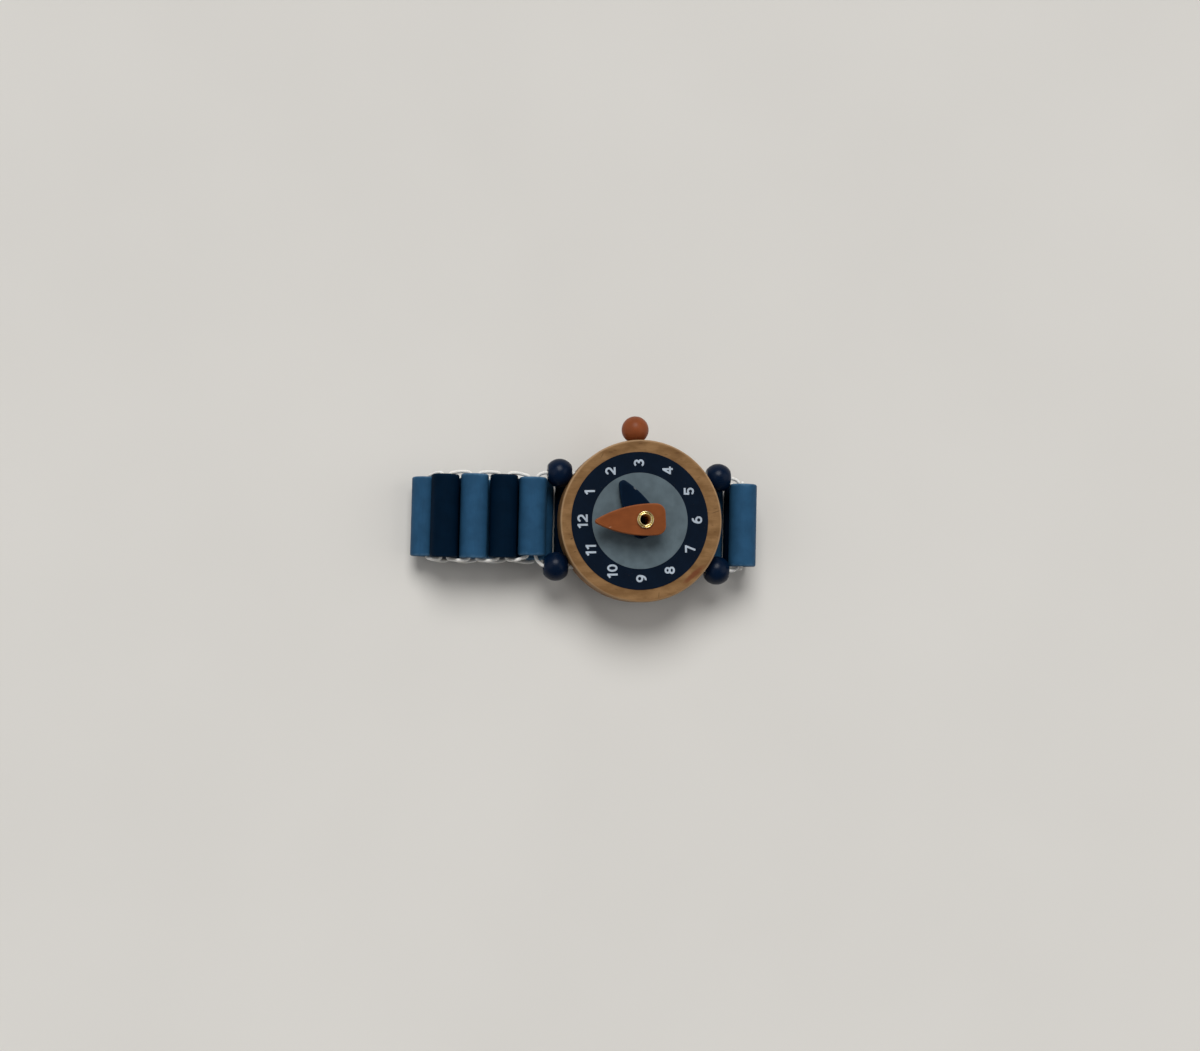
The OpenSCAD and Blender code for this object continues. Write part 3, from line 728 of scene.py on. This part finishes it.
# %% Stroke tree
bench, given = new_tree("printed_stroke", [("Lines", "Geometry"), ("Width", "Float"), ("Thickness", "Float"),
                                           ("Finish", "Material")])
section = bench.node("GeometryNodeCurvePrimitiveQuadrilateral", {},
                     {"Width": given["Width"], "Height": given["Thickness"]})
strip = bench.node("GeometryNodeCurveToMesh", {},
                   {"Curve": given["Lines"], "Profile Curve": section, "Fill Caps": True})
stroke_tree = close_tree(bench, strip, given["Finish"])
print(stroke_tree.name, "has", len(stroke_tree.nodes), "nodes")

# %% Middle lines of the figures
six = [arc((0, -0.38), (0.63, 0.61), 0, 360, 36), arc((0.2, -0.38), (0.83, 1.4), 180, 76, 16)]
strokes = {
    "0": [arc((0, 0), (0.63, 0.99), 0, 360, 40)],
    "1": [[(0.26, -1.22), (0.26, 1.22)], [(0.24, 1.02), (-0.44, 0.54)]],
    "2": [arc((0, 0.36), 0.63, 168, -36, 20) + [(-0.64, -0.99)], [(-0.86, -0.99), (0.88, -0.99)]],
    "3": [arc((0, 0.51), (0.57, 0.48), 158, -90, 24), arc((0, -0.48), (0.63, 0.51), 90, -158, 24)],
    "4": [[(0.32, -1.22), (0.32, 1.22)], [(-0.9, -0.56), (0.9, -0.56)], [(0.27, 1.05), (-0.7, -0.56)]],
    "5": [[(-0.6, 0.99), (0.78, 0.99)], [(-0.53, 1.22), (-0.62, -0.05)],
          arc((-0.02, -0.38), (0.64, 0.61), 146, -154, 24)],
    "6": six,
    "7": [[(-0.84, 0.99), (0.86, 0.99)], [(0.6, 0.9), (-0.3, -1.22)]],
    "8": [arc((0, 0.5), (0.55, 0.49), 0, 360, 32), arc((0, -0.48), (0.64, 0.51), 0, 360, 32)],
    "9": [[(-x, -y) for x, y in line] for line in six]}
figure_sides = {figure: (-0.6, 0.5) if figure == "1" else (-0.87, 0.87) for figure in strokes}
print("strokes:", {figure: len(lines) for figure, lines in strokes.items()})

# %% Figures
low, high = (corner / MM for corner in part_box("numerals"))
PRINT_MIDDLE, FIGURE_RING, FIGURE_GAP, STROKE_W, INK_STEP = -0.4, 13.475, 0.4, 0.45, 0.004
upright_turn = Matrix.Rotation(math.radians(FACE_TURN + 90), 4, "Z")
figure_parts = []
for n in range(1, 13):
    lines, width = [], 0.0
    for figure in str(n):
        left, right = figure_sides[figure]
        start = width + (FIGURE_GAP if lines else 0.0) - left
        lines += [[(x + start, y, -INK_STEP * i) for x, y in line] for i, line in enumerate(strokes[figure])]
        width = start + right
    spot = math.radians(FACE_TURN + 180 - 30 * n)
    seat = Matrix.Translation((PRINT_MIDDLE + FIGURE_RING * math.cos(spot), FIGURE_RING * math.sin(spot),
                               (low.z + high.z) / 2))
    figure_parts.append(made(drawn("figure", *lines), stroke_tree,
                             {"Width": STROKE_W, "Thickness": high.z - low.z, "Finish": pale_ink},
                             seat @ upright_turn @ Matrix.Translation((-width / 2, 0, 0))))
figures = joined("figures_printed", figure_parts, pale_ink)
settle(figures, "case", ["numerals"], "pale_print")
print("figures:", n, "faces:", len(figures.data.polygons))

# %% [markdown]
# ## The elastic
#
# White covered elastic holds everything together. It shows as small bows between the rod ends and as
# short runs from the end rods to the beads. A cord is a path and a round section, so a second tree sweeps
# a circle along a curve and stores the two attributes that the braid reads. Each bow belongs to one link,
# and its path starts inside a rod, where the ends of the curve can't be seen. The cords at the lugs cross
# a joint: a bead turns about its own middle, and their inner ends lie in the case. Such a cord stays where
# it is made and joins no body.

# %% Cord tree
bench, given = new_tree("covered_cord", [("Path", "Geometry"), ("Thickness", "Float"), ("Sides", "Int"),
                                         ("Finish", "Material")])
run = bench.node("GeometryNodeSplineParameter", out="Length")
marked = bench.node("GeometryNodeStoreNamedAttribute", {"data_type": "FLOAT", "domain": "POINT"},
                    {"Geometry": given["Path"], "Name": "along", "Value": run * MM})
section = bench.node("GeometryNodeCurvePrimitiveCircle", {}, {"Resolution": given["Sides"], "Radius": 1.0})
facing = bench.node("GeometryNodeInputPosition")
section = bench.node("GeometryNodeStoreNamedAttribute", {"data_type": "FLOAT_VECTOR", "domain": "POINT"},
                     {"Geometry": section, "Name": "around", "Value": facing})
half_thick = bench.node("ShaderNodeCombineXYZ", {}, {key: given["Thickness"] * 0.5 for key in "XYZ"})
section = bench.node("GeometryNodeTransform", {}, {"Geometry": section, "Scale": half_thick})
cord_skin = bench.node("GeometryNodeCurveToMesh", {},
                       {"Curve": marked, "Profile Curve": section, "Fill Caps": True})
cord_tree = close_tree(bench, cord_skin, given["Finish"])
print(cord_tree.name, "has", len(cord_tree.nodes), "nodes")


# %% Cord pieces
CORD_D, STRAND_GAP, TURN_R, OVER, BULGE = 0.8, 0.15, 0.9, 0.47, 0.1
LEG_FROM = 4.0
bend_turn = (rods[4][0] - rods[5][0]).angle(rods[6][0] - rods[5][0])
LEG_OFF = (CORD_D + STRAND_GAP) / 2 / math.sin(bend_turn / 2)
print("two strands share a bore, each off its axis by mm:", round(LEG_OFF, 3))


def threaded(name, paths, body, nodes, bends=None):
    """One cord piece for a body, swept along all its paths. Given bends, it stays where it is made and joins
    no body.
    """
    piece = made(drawn(name, *paths), cord_tree, {"Thickness": CORD_D, "Sides": 14, "Finish": cover.material})
    if bends:
        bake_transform(piece)
        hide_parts(*nodes)
    else:
        settle(piece, body, nodes, "elastic")
    return piece


def bow_over(reach, near_end, far_end):
    """Half a loop: out of one rod's end, over to the next rod and into its end."""
    flat = reach - TURN_R
    near, far = near_end + OVER, far_end + OVER
    crest = []
    for i in range(1, 12):
        x = flat * (1 - i / 6)
        share = (flat - x) / (2 * flat)
        rise = math.sin(share * math.pi / 2) if far > near else 1 - math.cos(share * math.pi / 2)
        crest.append((x, near + (far - near) * rise + BULGE * (1 - (x / flat) ** 2) ** 2))
    return ([(reach, 0.0), (reach, LEG_FROM)] + arc((flat, near - TURN_R), TURN_R, 0, 90, 8) + crest
            + arc((-flat, far - TURN_R), TURN_R, 90, 180, 8) + [(-reach, LEG_FROM)])


for k in range(1, 17):
    (start, start_up, start_down), (end, end_up, end_down) = rods[k], rods[k + 1]
    along_rods = (end - start).normalized()
    middle, reach = (start + end) / 2, (end - start).length / 2 - LEG_OFF
    loop = bow_over(reach, end_up, start_up) + [(-x, -y) for x, y in bow_over(reach, start_down, end_down)]
    path = [tuple(middle + along_rods * x + Vector((0, y, 0))) for x, y in loop + [(reach, 0.0)]]
    bow = threaded("elastic_%02d_cord" % k, [path], "link_%02d" % k, ["elastic_%02d" % k])
print("bows:", k, "faces each:", len(bow.data.polygons))


# %% Cords through the lugs and the case
def eased(points, steps):
    """Points on the smooth curve that four points pull on."""
    pulls = [Vector(p) for p in points]
    shares = [i / steps for i in range(steps + 1)]
    return [tuple((1 - t) ** 3 * pulls[0] + 3 * t * (1 - t) ** 2 * pulls[1] + 3 * t * t * (1 - t) * pulls[2]
                  + t ** 3 * pulls[3]) for t in shares]


low, high = (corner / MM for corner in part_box("bead_6_crown_side"))
bead_x, lug_y = (low.x + high.x) / 2, (low.y + high.y) / 2
leg_x = rods[17][0].x - LEG_OFF
IN_CASE, STEP, BEND_FROM, BEND_TO = 1.6, 0.2, 0.8, 0.2
LUG_OUT, LUG_PULL, END_PULL, END_IN = 2.6, 3.9, 1.0, 0.5
for sign, end, body, k in ((-1, "12", "lug_12", 1), (1, "6", "link_17", 17)):
    lug_z, halves = rods[k][0].z, []
    for rod_end in rods[k][1:]:
        bend = eased([(bead_x + LUG_OUT, lug_y), (bead_x + LUG_PULL, lug_y), (leg_x, rod_end + END_PULL),
                      (leg_x, rod_end - END_IN)], 16)
        inner = [(low.x - IN_CASE + STEP * i, lug_y) for i in range(13)]
        halves.append(inner + bend + [(leg_x, LEG_FROM)])
    flat = halves[0] + [(x, -y) for x, y in halves[1][::-1]]
    bends = [Vector((sign * x, 0, lug_z)) * MM for x in (low.x - BEND_FROM, low.x + BEND_TO)]
    threaded("elastic_lug_%s_cord" % end, [[(sign * x, y, lug_z) for x, y in flat]], body,
             ["elastic_lug_" + end], bends)
reach = low.x - IN_CASE - 0.1
threaded("elastic_case_cord", [[(x, s * lug_y, lug_z) for x in (-reach, 0, reach)] for s in (-1, 1)],
         "case", ["elastic_case"])

# %% [markdown]
# ## The pieces that stay as they are
#
# The case, the printed fields, the washers and the peg have the right shape already, so their packed
# solids stay and only take the finishes made above.

# %% Finishes for the packed solids
kept = {"case": case_beech, "dial_ring": navy_ink, "dial_centre": grey_ink, "spacer_washer": peg_beech,
        "hand_washer": brass.material, "back_washer": brass.material, "crown_peg": peg_beech}
for name, finish in kept.items():
    frame["nodes"][name].material_slots[0].material = finish
print("kept:", ", ".join(kept))

# %% [markdown]
# ## Floor and light
#
# The watch lies on a plain pale floor under soft light that comes mostly from the top of the picture. Sun
# lamps with a wide angle give soft shadows and the same level everywhere, so the floor stays even to its
# edge. The sky is pale only near the horizon and dim overhead: the dim part is what navy paint mirrors
# towards the camera, and it keeps the navy deep.

# %% Floor
floor_shell = bmesh.new()
bmesh.ops.create_circle(floor_shell, cap_ends=True, segments=64, radius=4.0,
                        matrix=Matrix.Translation((0, 0, cad_box[0].z - 0.00002)))
floor_mesh = bpy.data.meshes.new("floor")
floor_shell.to_mesh(floor_mesh)
floor = bpy.data.objects.new("floor", floor_mesh)
bpy.context.scene.collection.objects.link(floor)
pale = Finish("pale_floor", {"Specular IOR Level": 0.1})
mottle = pale.noise(pale.place((60, 60, 60)), detail=2.0)
floor_mesh.materials.append(pale.feed(pale.mix(mottle, tone(213, 210, 204), tone(220, 217, 211)),
                                      0.85 + 0.1 * mottle, 0.002 * mottle))

# %% Lamps
for name, towards, angle, level in (("top_lamp", (-0.08, 0.60, 0.80), 34, 0.60),
                                    ("right_lamp", (0.78, 0.12, 0.62), 50, 0.10),
                                    ("left_lamp", (-0.80, 0.10, 0.60), 50, 0.07)):
    lamp = bpy.data.lights.new(name, "SUN")
    direction = Vector(towards).normalized()
    lamp.angle = math.radians(angle)
    lamp.energy = level * math.pi / direction.z
    lamp_object = bpy.data.objects.new(name, lamp)
    lamp_object.rotation_euler = direction.to_track_quat("Z", "Y").to_euler()
    bpy.context.scene.collection.objects.link(lamp_object)
    print(name, "gives a flat white surface", level)

# %% Sky
world = bpy.data.worlds.new("studio")
bpy.context.scene.world = world
world.use_nodes = True
world.node_tree.nodes.clear()
sky = Bench(world.node_tree)
upward = sky.node("ShaderNodeSeparateXYZ", {}, {0: sky.node("ShaderNodeTexCoord", out="Generated")}, out="Z")
share = sky.node("ShaderNodeMapRange", {"interpolation_type": "SMOOTHSTEP"},
                 {"Value": upward, "From Min": 0.03, "From Max": 0.22, "To Min": 0.0, "To Max": 1.0})
air = sky.node("ShaderNodeMix", {"data_type": "RGBA"},
               {0: share, 6: (0.78, 0.78, 0.78, 1), 7: (0.17, 0.17, 0.175, 1)}, out=2)
glow = sky.node("ShaderNodeBackground", {}, {"Color": air, "Strength": 1.0})
sky.node("ShaderNodeOutputWorld", {}, {"Surface": glow})
bpy.context.scene.view_settings.view_transform = "Standard"
print("sky nodes:", len(world.node_tree.nodes))
